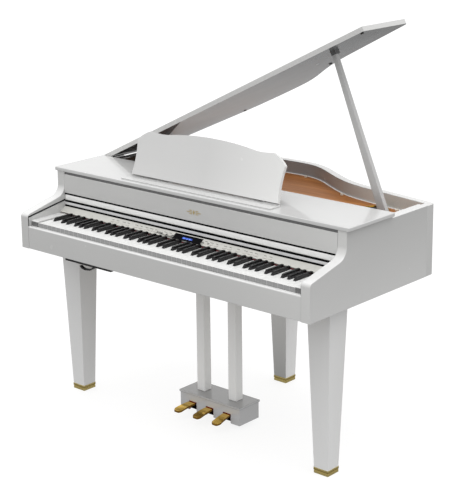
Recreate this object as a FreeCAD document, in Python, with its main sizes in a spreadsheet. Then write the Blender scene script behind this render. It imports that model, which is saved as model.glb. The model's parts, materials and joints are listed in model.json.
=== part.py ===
import FreeCAD, Part

import math
import os
import re
from types import SimpleNamespace

import Sketcher

os.makedirs("parts", exist_ok=True)
doc = FreeCAD.newDocument("mini_grand")

# Driving dimensions in millimetres.  Depths named *_back are measured from the front of the arms,
# heights from the floor.  The origin is on the floor, under the middle of the whole instrument.
DIMENSIONS = {
    "front": -467,              # the front plane of the arms, in the part's own frame
    "case_half": 688.5, "arm_thick": 38, "rim_thick": 28, "overhang": 10,
    "case_bottom": 604, "bed_thick": 30, "rim_top": 859, "board_top": 880, "board_thick": 14,
    "board_front_back": 186, "board_rear_back": 442, "lid_front_back": 446,
    "lid_under": 862, "lid_thick": 17, "lid_angle": 25.95, "lid_hinge_x": -692.7, "lid_hinge_z": 860.5,
    "arm_wall_back": 190, "corner_back": 696, "left_corner_back": 795,
    "rail_top": 690, "rail_thick": 18, "cheek_top": 711,
    "panel_bottom": 783, "panel_top": 855, "panel_thick": 12,
    "fascia_top": 748.5, "fascia_bottom": 738,
    "control_front_back": 165.5, "control_front_z": 714, "control_rear_z": 731, "control_thick": 4,
    "fallboard_thick": 14, "fallboard_long": 192, "fallboard_half": 647.5, "fallboard_z": 757,
    "slope_rise": 0.167,
    "key_pitch": 23.5, "key_gap": 1, "key_top": 706, "key_front_back": 21, "key_rear_back": 218,
    "key_head": 50, "key_thick": 14, "sharp_wide": 10.5, "sharp_tall": 12, "sharp_rear_back": 163,
    "pivot_back": 208, "pivot_z": 696, "pivot_rod": 2.5, "pivot_clear": 0.08,
    "soundboard_top": 809, "soundboard_thick": 10, "soundboard_front_back": 404,
    "leg_top": 98, "leg_foot": 59, "ferrule_tall": 21, "leg_half_spread": 598, "leg_back": 207,
    "rear_leg_x": -46, "rear_leg_back": 773,
    "box_half": 146, "box_back": 279, "box_deep": 108, "box_bottom": 16, "box_top": 78,
    "box_lid_thick": 8.5, "box_lid_over": 3.5, "box_wall": 9,
    "post_wide": 40, "post_half_spread": 77.5, "post_back": 337,
    "pedal_pitch": 84.5, "pedal_pivot_back": 345, "pedal_pivot_z": 46, "slot_wide": 38, "slot_top": 52.5,
    "rest_hinge_back": 269.5, "rest_hinge_z": 885, "rest_tilt": 17, "rest_thick": 12, "rest_set": 4.7,
    "stay_long": 80, "stay_x": 210,
    "prop_x": 588, "prop_z": 828, "prop_back": 540, "prop_lean": 22.1, "prop_deep": 18,
    "jack_wide": 238, "jack_x": -345,
}
sheet = doc.addObject("Spreadsheet::Sheet", "sizes")
for row, (alias, value) in enumerate(DIMENSIONS.items(), start=1):
    sheet.set(f"A{row}", alias)
    sheet.set(f"B{row}", str(value))
    sheet.setAlias(f"B{row}", alias)
doc.recompute()
d = SimpleNamespace(**{alias: sheet.get(alias) for alias in DIMENSIONS})
nodes = {}
V = FreeCAD.Vector
X_AXIS, Y_AXIS, Z_AXIS = V(1, 0, 0), V(0, 1, 0), V(0, 0, 1)


def back(distance):
    """The Y of a point that lies this far behind the front of the arms."""
    return d.front + distance


def bound(text):
    """An expression on the sheet's cells, from one that uses their bare names."""
    return re.sub(r"[a-z_]+", lambda m: "sizes." + m.group() if m.group() in DIMENSIONS else m.group(), text)


def node(label, item):
    item.Label = label
    nodes[label] = item
    return item


def place(item, at):
    for axis, text in zip("xyz", at):
        item.setExpression(f"Placement.Base.{axis}", bound(text))


def box(name, at, size):
    """A Part::Box whose corner and sides are expressions on the sheet."""
    item = doc.addObject("Part::Box", name)
    for side, text in zip(("Length", "Width", "Height"), size):
        item.setExpression(side, bound(text))
    place(item, at)
    return item


def cylinder(name, at, radius, height, direction=Z_AXIS):
    item = doc.addObject("Part::Cylinder", name)
    item.Placement = FreeCAD.Placement(V(), FreeCAD.Rotation(Z_AXIS, direction))
    item.setExpression("Radius", bound(radius))
    item.setExpression("Height", bound(height))
    place(item, at)
    return item


def cut(name, base, *tools):
    item = doc.addObject("Part::Cut", name)
    item.Base = base
    item.Tool = tools[0] if len(tools) == 1 else join(name + "_tools", *tools)
    return item


def join(name, *items):
    item = doc.addObject("Part::MultiFuse", name)
    item.Shapes = list(items)
    return item


def feature(name, shape, placement=None):
    """A piece whose outline or grouping needs Part's own functions."""
    item = doc.addObject("Part::Feature", name)
    item.Shape = shape
    if placement:
        item.Placement = placement
    return item


def sketch_in(body, role, offset="0"):
    """A sketch on one of the body's own origin planes, moved along its normal."""
    sketch = body.newObject("Sketcher::SketchObject", body.Name + "_sketch")
    plane = [f for f in body.Origin.OriginFeatures if f.Role == role][0]
    sketch.AttachmentSupport = [(plane, "")]
    sketch.MapMode = "FlatFace"
    sketch.setExpression("AttachmentOffset.Base.z", bound(offset))
    return sketch


def draw(sketch, outline):
    """Close an outline of points; an entry of two points is an arc's middle and end."""
    ends = [p[-1] if isinstance(p[0], tuple) else p for p in outline]
    start = ends[-1]
    for entry in outline:
        if isinstance(entry[0], tuple):
            middle, end = entry
            sketch.addGeometry(Part.Arc(V(*start, 0), V(*middle, 0), V(*end, 0)), False)
        else:
            end = entry
            sketch.addGeometry(Part.LineSegment(V(*start, 0), V(*end, 0)), False)
        start = end


def rectangle(sketch, left, low, right, high):
    """A rectangle whose four sides are dimensioned by expressions on the sheet."""
    x0, y0, x1, y1 = (float(sheet.evalExpression(text)) for text in (left, low, right, high))
    corners = [V(x0, y0, 0), V(x1, y0, 0), V(x1, y1, 0), V(x0, y1, 0)]
    for a, b in zip(corners, corners[1:] + corners[:1]):
        sketch.addGeometry(Part.LineSegment(a, b), False)
    for i in range(4):
        sketch.addConstraint(Sketcher.Constraint("Coincident", i, 2, (i + 1) % 4, 1))
        sketch.addConstraint(Sketcher.Constraint("Horizontal" if i % 2 == 0 else "Vertical", i))
    for kind, line, text, value in (("DistanceX", 0, left, x0), ("DistanceY", 0, low, y0),
                                    ("DistanceX", 2, right, x1), ("DistanceY", 2, high, y1)):
        index = sketch.addConstraint(Sketcher.Constraint(kind, -1, 1, line, 1, value))
        sketch.setExpression(f"Constraints[{index}]", bound(text))


def slab(name, role, shape, depth, offset="0"):
    """A PartDesign body: one sketch, padded along its plane's normal."""
    body = doc.addObject("PartDesign::Body", name)
    sketch = sketch_in(body, role, offset)
    shape(sketch)
    pad = body.newObject("PartDesign::Pad", name + "_pad")
    pad.Profile = sketch
    pad.setExpression("Length", bound(depth))
    sketch.Visibility = False
    return body


def soften(body, radius, wanted):
    """Round the edges of the body's tip whose middle point passes the test."""
    body.Document.recompute()
    base = body.Tip
    names = [f"Edge{i}" for i, e in enumerate(base.Shape.Edges, start=1) if wanted(middle_of(e))]
    fillet = body.newObject("PartDesign::Fillet", body.Name + "_fillet")
    fillet.Base = (base, names)
    fillet.Radius = radius
    return body


def middle_of(edge):
    return edge.valueAt((edge.FirstParameter + edge.LastParameter) / 2)


def rounded(before, corner, after, radius):
    """The two tangent points and the middle of the arc that rounds a corner of an outline."""
    p, a, b = V(*corner, 0), V(*before, 0), V(*after, 0)
    u, w = (a - p).normalize(), (b - p).normalize()
    half = math.acos(max(-1, min(1, u.dot(w)))) / 2
    run = radius / math.tan(half)
    bisector = (u + w).normalize()
    arc_middle = p + bisector * (radius / math.sin(half) - radius)
    points = (p + u * run, arc_middle, p + w * run)
    return [(v.x, v.y) for v in points]


def prism(face_wire, low, high):
    """A vertical solid over a flat closed wire."""
    solid = Part.Face(face_wire).extrude(V(0, 0, high - low))
    solid.translate(V(0, 0, low))
    return solid


def block(x0, x1, y0, y1, z0, z1):
    return Part.makeBox(x1 - x0, y1 - y0, z1 - z0, V(x0, y0, z0))


# ---- The plan of the case: straight sides, a slanting tail and an S-curve to the right rear corner ----

# The tail's outer curve from left to right: X, and the distance behind the front of the arms.
TAIL = ((-300, 903), (-190, 919), (-78, 924), (12, 916), (72, 893), (153, 844), (271, 780), (412, 744))
CORNER_RADII, LEAST_RADIUS = (30, 18), 3           # left and right rear corners


def case_plan(grow):
    """The closed outline of the case in plan, grown outwards all round but at the front."""
    half = d.case_half
    tail = [V(x, back(y), 0) for x, y in TAIL]
    arrive = tail[0] - V(-half, back(d.left_corner_back), 0)
    leave = V(half, back(d.corner_back), 0) - tail[-1]
    along = [arrive] + [after - before for before, after in zip(tail, tail[2:])] + [leave]
    points = [p + V(-t.y, t.x, 0).normalize() * grow for p, t in zip(tail, along)]
    half += grow
    left_corner = points[0] - arrive * ((points[0].x + half) / arrive.x)
    right_corner = points[-1] + leave * ((half - points[-1].x) / leave.x)
    left_radius, right_radius = (max(radius + grow, LEAST_RADIUS) for radius in CORNER_RADII)
    left = rounded((-half, back(0)), left_corner[:2], points[0][:2], left_radius)
    right = rounded(points[-1][:2], right_corner[:2], (half, back(0)), right_radius)
    curve = Part.BSplineCurve()
    curve.interpolate(Points=points, InitialTangent=arrive, FinalTangent=leave)
    on = [V(*p, 0) for p in ((-half, back(0)), *left, *right, (half, back(0)))]
    edges = [Part.LineSegment(on[0], on[1]), Part.Arc(on[1], on[2], on[3]),
             Part.LineSegment(on[3], points[0]), curve, Part.LineSegment(points[-1], on[4]),
             Part.Arc(on[4], on[5], on[6]), Part.LineSegment(on[6], on[7]), Part.LineSegment(on[7], on[0])]
    return Part.Wire([e.toShape() for e in edges])


PLAN = case_plan(0)
INNER = case_plan(-d.rim_thick)
COVER = case_plan(d.overhang)
INSIDE = d.case_half - d.arm_thick          # half the clear width between the arms
LEFT_SIDE_REAR, RIGHT_SIDE_REAR = back(750), back(650)
BED_TOP = d.case_bottom + d.bed_thick
FAR = 2000                                  # reaches past everything


def arm(name, x_expression, rear):
    """A side of the case, with its arm's sloping top and the fallboard's groove."""
    nose = rounded((back(0), d.case_bottom), (back(0), 735), (back(150), 770), 16)
    sweep = rounded(nose[-1], (back(d.arm_wall_back), 780), (back(d.arm_wall_back), 866), 46)
    board_under = d.board_top - d.board_thick
    outline = [(back(0), d.case_bottom), nose[0], (nose[1], nose[2]), sweep[0], (sweep[1], sweep[2]),
               (back(d.arm_wall_back), board_under), (back(d.board_rear_back), board_under),
               (back(d.board_rear_back), d.rim_top), (rear, d.rim_top), (rear, d.case_bottom)]
    body = slab(name + "_plate", "YZ_Plane", lambda s: draw(s, outline), "arm_thick", x_expression)
    slope_top = board_under - 1
    return soften(body, 3, lambda m: m.y < back(d.arm_wall_back) + 1 and m.z < slope_top
                  and m.z > d.case_bottom + 1 and abs(abs(m.x) - d.case_half + d.arm_thick / 2) > 18)


SLOPE = math.atan(d.slope_rise)
GROOVE_TALL, GROOVE_DEEP, TRACK_THICK = 8, 7, 2.6


def along_slope(shape):
    """Lay a shape modelled level, from its front end at the origin, along the fallboard's groove."""
    shape.rotate(V(), X_AXIS, math.degrees(SLOPE))
    shape.translate(V(0, back(4), 724))
    return shape


def groove(x0, x1):
    return along_slope(block(x0, x1, 0, 386, -GROOVE_TALL / 2, GROOVE_TALL / 2))


def sides():
    deepest = INSIDE + GROOVE_DEEP
    for name, offset, rear, floor in (("left_side_panel", "-case_half", LEFT_SIDE_REAR, -deepest),
                                      ("right_side_panel", "case_half - arm_thick", RIGHT_SIDE_REAR, INSIDE)):
        slot = feature(name + "_groove", groove(floor, floor + GROOVE_DEEP))
        node(name, cut(name, arm(name, offset, rear), slot))
    strips = [groove(-deepest, -deepest + TRACK_THICK), groove(deepest - TRACK_THICK, deepest)]
    node("fallboard_tracks", feature("fallboard_tracks", Part.Compound(strips)))


def rim_and_boards():
    """The curved rear rim, the bottom board and the soundboard, all from the plan."""
    ring = prism(PLAN, d.case_bottom, d.rim_top).cut(prism(INNER, d.case_bottom - 1, d.rim_top + 1))
    left = block(-FAR, 0, back(0) - 1, LEFT_SIDE_REAR, 0, FAR)
    right = block(0, FAR, back(0) - 1, RIGHT_SIDE_REAR, 0, FAR)
    node("rear_rim", feature("rear_rim", ring.cut(left).cut(right)))

    def inside(low, high, front):
        zone = block(-INSIDE, INSIDE, front, FAR, low, high)
        return prism(INNER, low, high).common(zone)

    bed = inside(d.case_bottom + 2, BED_TOP, back(d.rail_thick + 2))
    node("bottom_board", feature("bottom_board", bed))
    panel = inside(d.soundboard_top - d.soundboard_thick, d.soundboard_top, back(d.soundboard_front_back))
    for x, y in SPEAKERS:
        panel = panel.cut(Part.makeCylinder(SPEAKER_HOLE, 40, V(x, back(y), d.soundboard_top - 30)))
    node("soundboard", feature("soundboard", panel))


SPEAKERS = ((470, 649), (-400, 690))
SPEAKER_HOLE, SPEAKER_RING = 42, 50


# The half section of a speaker: radius, and height above the rim of its chassis.
CONE = ((0, 4), (10, 1), (14, 0), (34, 9), (38, 11), (41.5, 8), (41.5, -2), (20, -14), (20, -34),
        (0, -34), (0, 4))


def speakers():
    rings, cones = [], []
    for x, y in SPEAKERS:
        middle = V(x, back(y), 0)
        profile = Part.makePolygon([V(SPEAKER_HOLE - 2, 0, 0), V(SPEAKER_RING, 0, 0), V(SPEAKER_RING, 0, 1.5),
                                    V(SPEAKER_RING - 3, 0, 3.5), V(SPEAKER_HOLE + 1, 0, 3.5),
                                    V(SPEAKER_HOLE - 2, 0, 1), V(SPEAKER_HOLE - 2, 0, 0)])
        rings.append(Part.Face(profile).revolve(V(), Z_AXIS, 360))
        rings[-1].translate(middle + V(0, 0, d.soundboard_top))
        cone = Part.makePolygon([V(radius, 0, height) for radius, height in CONE])
        cones.append(Part.Face(cone).revolve(V(), Z_AXIS, 360))
        cones[-1].translate(middle + V(0, 0, d.soundboard_top - 12))
    node("speaker_rings", feature("speaker_rings", Part.Compound(rings)))
    node("speaker_cones", feature("speaker_cones", Part.Compound(cones)))
    studs = [Part.makeCylinder(6, 6, V(x, back(y), d.soundboard_top)) for x, y in
             ((-26, 880), (252, 742), (540, 680), (-420, 822))]
    node("rim_studs", feature("rim_studs", Part.Compound(studs)))


# ---- The front of the case ----

def plate(name, sides_x, sides_z, y_expression, depth, radius=0, wanted=None):
    """An upright plate across the case: its front face at y_expression, its body behind."""
    left, right = sides_x
    body = slab(name, "XZ_Plane", lambda s: rectangle(s, left, sides_z[0], right, sides_z[1]), depth,
                f"-({y_expression}) - ({depth})")
    if radius:
        soften(body, radius, wanted)
    return node(name, body)


def front_of_case():
    inner = ("arm_thick - case_half", "case_half - arm_thick")
    plate("front_rail", inner, ("case_bottom", "rail_top"), "front + 2", "rail_thick", 5,
          lambda m: m.z > d.rail_top - 1 and m.y < back(3))
    plate("front_panel", inner, ("panel_bottom", "panel_top"), "front + arm_wall_back", "panel_thick", 2,
          lambda m: m.y < back(d.arm_wall_back) + 1 and abs(m.x) < 1)
    plate("fascia_strip", inner, ("fascia_bottom", "fascia_top"), "front + arm_wall_back",
          "panel_thick - 2", 1, lambda m: m.y < back(d.arm_wall_back) + 1 and abs(m.x) < 1)
    cheeks = []
    for i, left in enumerate(("arm_thick - case_half", "case_half - arm_thick - 37")):
        body = slab(f"cheek{i}", "YZ_Plane", lambda s: rectangle(
            s, "front + rail_thick + 2", "case_bottom + bed_thick", "front + 163", "cheek_top"), "37", left)
        cheeks.append(soften(body, 6, lambda m: m.z > d.cheek_top - 1 and m.y < back(d.rail_thick + 3)))
    node("cheek_blocks", compound("cheek_blocks", cheeks))


def compound(name, items):
    item = doc.addObject("Part::Compound", name)
    item.Links = items
    return item


CONTROL_SLOPE = math.atan((d.control_rear_z - d.control_front_z) / (d.arm_wall_back - d.control_front_back))


def on_control_panel(x, up_slope, size_x, size_slope, low, high):
    """A block square to the sloping control panel; low and high are measured from its surface."""
    shape = block(-size_x / 2, size_x / 2, -size_slope / 2, size_slope / 2, low, high)
    shape.translate(V(0, up_slope, 0))
    shape.rotate(V(), X_AXIS, math.degrees(CONTROL_SLOPE))
    shape.translate(V(x, back(d.control_front_back), d.control_front_z))
    return shape


VOICE_BUTTONS = [-378, -354, -322, -298, -256, -232, -204, -180, -156, -110, -86]
SONG_BUTTONS = [88, 112, 136, 175, 199, 235, 268, 292, 316, 355, 379]
POWER_X, BUTTON_WIDE, BUTTON_LONG, BUTTON_UP, BUTTON_STEM = -490, 16, 6, 1.4, 6
BUTTON_LINE, BUTTON_GAP = 11, 0.5


def control_panel():
    """The sloping panel behind the keys with its window and push buttons."""
    sine, cosine = math.sin(CONTROL_SLOPE), math.cos(CONTROL_SLOPE)
    thick = d.control_thick
    length = math.hypot(d.arm_wall_back - d.control_front_back, d.control_rear_z - d.control_front_z)
    panel = on_control_panel(0, length / 2, 2 * INSIDE, length, -thick, 0)
    groups = {"voice_buttons": VOICE_BUTTONS, "song_buttons": SONG_BUTTONS}
    gap = 2 * BUTTON_GAP
    for name, places in groups.items():
        caps = []
        for x in places:
            panel = panel.cut(on_control_panel(x, BUTTON_LINE, BUTTON_WIDE + gap, BUTTON_LONG + gap, -9, 9))
            cap = on_control_panel(x, BUTTON_LINE, BUTTON_WIDE, BUTTON_LONG, -BUTTON_STEM, BUTTON_UP)
            caps.append(cap.makeChamfer(0.5, [e for e in cap.Edges if e.Length > BUTTON_LONG - 0.1
                                              and top_edge(e, sine, cosine)]))
        node(name, feature(name, Part.Compound(caps)))
    centre = on_control_panel(POWER_X, BUTTON_LINE, 0.2, 0.2, 0, 0.2).CenterOfMass
    normal = V(0, -sine, cosine)
    power = Part.makeCylinder(4.6, BUTTON_STEM + BUTTON_UP, centre - normal * BUTTON_STEM, normal)
    panel = panel.cut(Part.makeCylinder(5.1, 30, centre - normal * 15, normal))
    node("power_button", feature("power_button", power))
    window_zone = on_control_panel(0, BUTTON_LINE, 118, 21, -1.5, 9)
    node("control_panel", feature("control_panel", panel.cut(window_zone)))
    window = on_control_panel(0, BUTTON_LINE, 118, 21, -1.5, 0.5)
    node("display_window", feature("display_window", window))


def top_edge(edge, sine, cosine):
    """Whether an edge of a button lies on its top face."""
    m = middle_of(edge) - V(0, back(d.control_front_back), d.control_front_z)
    return m.dot(V(0, -sine, cosine)) > BUTTON_UP - 0.01


def fallboard():
    """The sliding key cover, drawn back under the top board, with its upright lip and guide pins."""
    rise, wall = d.slope_rise, d.arm_wall_back
    low = d.fallboard_z - 1

    def line(y, height):
        return (back(y), height + rise * (y - wall))

    lip_rear, rear = wall + 13, wall + d.fallboard_long
    lip_low, lip_high = 755, 777.5
    foot = rounded((back(lip_rear), lip_low), (back(wall), lip_low), (back(wall), lip_high), 5)
    nose = rounded((back(wall), lip_low), (back(wall), lip_high), (back(lip_rear), lip_high), 5)
    top = low + d.fallboard_thick
    outline = [foot[0], (foot[1], foot[2]), nose[0], (nose[1], nose[2]), (back(lip_rear), lip_high),
               line(lip_rear, top), line(rear, top), line(rear, low), line(lip_rear, low),
               (back(lip_rear), lip_low)]
    body = slab("fallboard_board", "YZ_Plane", lambda s: draw(s, outline), "2 * fallboard_half",
                "-fallboard_half")
    inner, outer = d.fallboard_half - 5.5, d.fallboard_half + 6.5
    pins = [rod_x(x0, x1, 3, back(y), z) for x0, x1 in ((-outer, -inner), (inner, outer))
            for y, z in ((wall + 7, 756.6), (rear - 14, 785))]
    node("fallboard", join("fallboard", body, feature("fallboard_pins", Part.Compound(pins))))


# ---- The keys ----
# Eighty-eight keys: naturals are numbered from the lowest A, and a sharp carries the number of the
# natural on its left.

NATURALS = 52
LETTERS = "CDEFGAB"
SHARP_SHIFT = {"C": -2.4, "D": 2.4, "F": -3, "G": 0, "A": 3}
MIDDLE_C = 23
MIDDLE_GROUP = range(MIDDLE_C, MIDDLE_C + 3)


def letter(i):
    return LETTERS[(i + 5) % 7]


def key_left(i):
    return (i - NATURALS / 2) * d.key_pitch


def sharp_middle(i):
    """The middle of the sharp on the right of natural i, or None where there is none."""
    if letter(i) not in SHARP_SHIFT or not 0 <= i < NATURALS - 1:
        return None
    return key_left(i + 1) + SHARP_SHIFT[letter(i)]


def pivot_hole():
    return rod_x(-FAR, FAR, d.pivot_rod + d.pivot_clear, back(d.pivot_back), d.pivot_z)


def natural_key(i):
    """A white key: a full-width head with a hanging lip, and a tail cut back beside each sharp."""
    left, right = key_left(i) + d.key_gap / 2, key_left(i + 1) - d.key_gap / 2
    spare = d.sharp_wide / 2 + 1.1
    tail_left = sharp_middle(i - 1) + spare if sharp_middle(i - 1) is not None else left
    tail_right = sharp_middle(i) - spare if sharp_middle(i) is not None else right
    front, head, rear = back(d.key_front_back), back(d.key_front_back + d.key_head), back(d.key_rear_back)
    low, top = d.key_top - d.key_thick, d.key_top
    key = block(left, right, front, head, low, top)
    key = key.fuse(block(tail_left, tail_right, head, back(d.sharp_rear_back), low, top))
    key = key.fuse(block(tail_left, tail_right, head, rear, low - 3, top - 4))
    key = key.fuse(block(left, right, front, front + 4, low - 8, low))
    key = key.removeSplitter()
    edges = [e for e in key.Edges
             if middle_of(e).z > top - 0.01 and middle_of(e).y < back(d.sharp_rear_back) - 1]
    key = key.makeChamfer(0.5, edges)
    return key.cut(pivot_hole())


def sharp_key(i):
    """A black key: a tapering raised block with a sloping front on a low tail."""
    middle, half = sharp_middle(i), d.sharp_wide / 2
    front, rear = back(d.key_front_back + d.key_head + 1.2), back(d.key_rear_back)
    low, top = d.key_top - d.key_thick, d.key_top + d.sharp_tall
    raised_rear = back(d.sharp_rear_back)
    tail_top = d.key_top - 4
    side = ((front, low - 3), (front, d.key_top + 1), (front + 9, top), (raised_rear, top),
            (raised_rear, tail_top), (rear, tail_top), (rear, low - 3), (front, low - 3))
    key = Part.Face(Part.makePolygon([V(0, *point) for point in side])).extrude(V(d.sharp_wide, 0, 0))
    key.translate(V(middle - half, 0, 0))
    edges = [e for e in key.Edges if middle_of(e).z > d.key_top + 2 and middle_of(e).y < raised_rear - 1
             and abs(middle_of(e).x - middle) > half - 0.01]
    return key.makeChamfer(1.3, edges).cut(pivot_hole())


def keys():
    sharps = [i for i in range(NATURALS) if sharp_middle(i) is not None]
    groups = {"bass_white_keys": [natural_key(i) for i in range(MIDDLE_GROUP[0])],
              "treble_white_keys": [natural_key(i) for i in range(MIDDLE_GROUP[-1] + 1, NATURALS)],
              "bass_black_keys": [sharp_key(i) for i in sharps if i < MIDDLE_GROUP[0]],
              "treble_black_keys": [sharp_key(i) for i in sharps if i > MIDDLE_GROUP[-1]]}
    for i in MIDDLE_GROUP:
        groups[f"middle_{letter(i).lower()}_key"] = [natural_key(i)]
        if i in sharps:
            groups[f"middle_{letter(i).lower()}_sharp_key"] = [sharp_key(i)]
    for name, solids in groups.items():
        node(name, feature(name, Part.Compound(solids)))


def key_rail():
    """The rail under the keys' tails, with the pivot rod held in a bracket at each end."""
    half = NATURALS * d.key_pitch / 2
    rail = block(-half - 12, half + 12, back(196), back(220), BED_TOP, d.key_top - d.key_thick - 6)
    for side in (-1, 1):
        x0, x1 = sorted((side * (half + 3), side * (half + 12)))
        rail = rail.fuse(block(x0, x1, back(198), back(218), BED_TOP, d.pivot_z + 10))
    rod = rod_x(-half - 3, half + 3, d.pivot_rod, back(d.pivot_back), d.pivot_z)
    node("key_rail", feature("key_rail", rail.fuse(rod).removeSplitter()))
    felt = block(-INSIDE, INSIDE, back(168), back(172), d.key_top - 3, d.key_top + 2)
    node("key_felt", feature("key_felt", felt))


# ---- The top board and the music rest ----

def top_board():
    half = "case_half + overhang"
    body = slab("top_board", "XY_Plane", lambda s: rectangle(
        s, f"-({half})", "front + board_front_back", half, "front + board_rear_back"), "board_thick",
        "board_top - board_thick")
    doc.recompute()
    middle_z = d.board_top - d.board_thick / 2
    soften(body, 6, lambda m: abs(m.z - middle_z) < 1 and m.y < back(d.board_front_back + 1))
    soften(body, 3, lambda m: m.y < back(d.board_front_back + 1))
    node("top_board", body)
    ledge = slab("rest_ledge", "XY_Plane",
                 lambda s: rectangle(s, "-357", "front + 204", "357", "front + 261"), "4.5", "board_top")
    soften(ledge, 6, lambda m: abs(m.x) > 356 and abs(m.z - d.board_top - 2.25) < 1)
    soften(ledge, 1.5, lambda m: m.z > d.board_top + 4)
    node("rest_ledge", ledge)


REST_HINGES = (-250, 250)
STAYS = (-d.stay_x, d.stay_x)
PIN, PIN_HOLE, BARREL = 1.5, 1.56, 3.5


def rod_x(x0, x1, radius, y=0, z=0):
    return Part.makeCylinder(radius, x1 - x0, V(x0, y, z), X_AXIS)


def music_rest():
    """The rest is modelled upright about its hinge line, then tilted back."""
    outline = [(350, 1), ((344, 68), (351, 130)), ((324, 152), (290, 167.5)), ((246, 163.5), (204, 164.5)),
               ((0, 180), (-204, 164.5)), ((-246, 163.5), (-290, 167.5)), ((-324, 152), (-351, 130)),
               ((-344, 68), (-350, 1))]
    body = slab("rest_plate", "XZ_Plane", lambda s: draw(s, outline), "rest_thick", "rest_set")
    fittings, holes = [], []
    for x in REST_HINGES:
        barrel = rod_x(x - 6, x + 6, BARREL)
        fittings.append(fused([barrel, block(x - 6, x + 6, -d.rest_set - 1, 0, -BARREL, BARREL)]))
        holes.append(rod_x(x - 8, x + 8, PIN_HOLE))
    for x in STAYS:
        low, high = d.stay_long - 4, d.stay_long + 4
        ear = block(x + 4, x + 8, -d.rest_set - 1, 3.5, low, high)
        fittings.append(fused([ear, rod_x(x - 3.4, x + 5, PIN, 0, d.stay_long)]))
    ears = feature("rest_ears", Part.Compound(fittings))
    bores = feature("rest_bores", Part.Compound(holes))
    rest = cut("music_rest", join("rest_whole", body, ears), bores)
    tilt = FreeCAD.Rotation(X_AXIS, -d.rest_tilt)
    hinge = V(0, back(d.rest_hinge_back), d.rest_hinge_z)
    rest.Placement = FreeCAD.Placement(hinge, tilt)
    node("music_rest", rest)
    brackets = []
    for x in REST_HINGES:
        for x0, x1 in ((x - 18, x - 6.4), (x + 6.4, x + 18)):
            brackets += [rod_x(x0, x1, BARREL, 0, 0), block(x0, x1, -BARREL, 12, -5, -2)]
        brackets.append(rod_x(x - 17, x + 17, PIN))
    shape = fused(brackets)
    shape.translate(hinge)
    node("rest_hinges", feature("rest_hinges", shape))
    stays = []
    for x in STAYS:
        stay = block(x - 3, x + 3, -2.4, 2.4, -d.stay_long, 0).fuse(rod_x(x - 3, x + 3, 4))
        stay = stay.fuse(rod_x(x - 3, x + 3, 4.2, 0, -d.stay_long)).cut(rod_x(x - 4, x + 4, PIN_HOLE))
        stays.append(stay)
    pivot = hinge + tilt.multVec(V(0, 0, d.stay_long))
    placement = FreeCAD.Placement(pivot, FreeCAD.Rotation(X_AXIS, d.rest_tilt))
    node("rest_stays", feature("rest_stays", Part.Compound(stays), placement))


def fused(shapes):
    whole = shapes[0]
    for shape in shapes[1:]:
        whole = whole.fuse(shape)
    return whole.removeSplitter()


# ---- The lid: everything on it is modelled closed, then swung open about its hinge ----

LID_HINGES = (500, 690)
HINGE_LONG, HINGE_BARREL, LEAF_X, LEAF_EDGE = 96, 3.8, -655, -688


def opened(name, shape):
    swing = FreeCAD.Rotation(Y_AXIS, -d.lid_angle)
    axis = V(d.lid_hinge_x, 0, d.lid_hinge_z)
    return node(name, feature(name, shape, FreeCAD.Placement(axis - swing.multVec(axis), swing)))


def rod_y(y0, y1, radius, x, z):
    return Part.makeCylinder(radius, y1 - y0, V(x, y0, z), Y_AXIS)


def lid():
    low, high = d.lid_under, d.lid_under + d.lid_thick
    axis_x, axis_z = d.lid_hinge_x, d.lid_hinge_z
    board = prism(COVER, low, high).common(block(-FAR, FAR, back(d.lid_front_back), FAR, low - 1, high + 1))
    edge = -d.case_half - d.overhang
    slant = ((edge - 1, low), (edge, low), (edge + 8.4, high), (edge + 8.4, high + 1), (edge - 1, high + 1),
             (edge - 1, low))
    wedge = Part.Face(Part.makePolygon([V(x, 0, z) for x, z in slant])).extrude(V(0, 2 * FAR, 0))
    wedge.translate(V(0, -FAR, 0))
    board = board.cut(wedge)
    case_leaves, lid_leaves = [], []
    third = HINGE_LONG / 3
    for y in LID_HINGES:
        start = back(y) - HINGE_LONG / 2
        board = board.cut(rod_y(start - 1, start + HINGE_LONG + 1, HINGE_BARREL + 0.6, axis_x, axis_z))
        lid_leaf = block(LEAF_EDGE, LEAF_X, start, start + HINGE_LONG, axis_z + 0.2, low)
        tongue = block(axis_x, LEAF_EDGE, start + third + 0.3, start + 2 * third - 0.3, axis_z + 0.2, low)
        barrel = rod_y(start + third + 0.3, start + 2 * third - 0.3, HINGE_BARREL, axis_x, axis_z)
        hole = rod_y(start, start + HINGE_LONG, 1.6, axis_x, axis_z)
        lid_leaves.append(fused([lid_leaf, tongue, barrel]).cut(hole))
        leaf = [block(LEAF_EDGE, LEAF_X, start, start + HINGE_LONG, d.rim_top, axis_z - 0.2),
                rod_y(start + 1, start + HINGE_LONG - 1, 1.53, axis_x, axis_z)]
        for y0 in (start, start + 2 * third):
            leaf += [rod_y(y0, y0 + third, HINGE_BARREL, axis_x, axis_z),
                     block(axis_x, LEAF_EDGE, y0, y0 + third, d.rim_top, axis_z - 0.2)]
        case_leaves.append(fused(leaf))
    opened("lid", board)
    opened("lid_hinge_lid_leaves", Part.Compound(lid_leaves))
    node("lid_hinge_case_leaves", feature("lid_hinge_case_leaves", Part.Compound(case_leaves)))
    bumpers = [Part.makeCylinder(6, 2.9, V(x, back(y), low - 2.9))
               for x, y in ((676, 464), (282, 758), (-300, 886))]
    opened("lid_bumpers", Part.Compound(bumpers))
    x, y = 484.2, back(d.prop_back)
    side, open_end = d.prop_deep / 2 + 0.6, x - 9
    socket = [block(open_end - 1, x + 14, y - side - 3, y + side + 3, low - 2, low),
              block(x + 9.8, x + 12.5, y - side - 2, y + side + 2, low - 14, low - 1)]
    for y0 in (y - side - 2, y + side):
        socket.append(block(open_end, x + 12, y0, y0 + 2, low - 14, low - 1))
    opened("prop_socket", fused(socket))


PROP_LONG, PROP_FOOT, PROP_TIP, PROP_PIN = 588, 34, 17, 4


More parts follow.
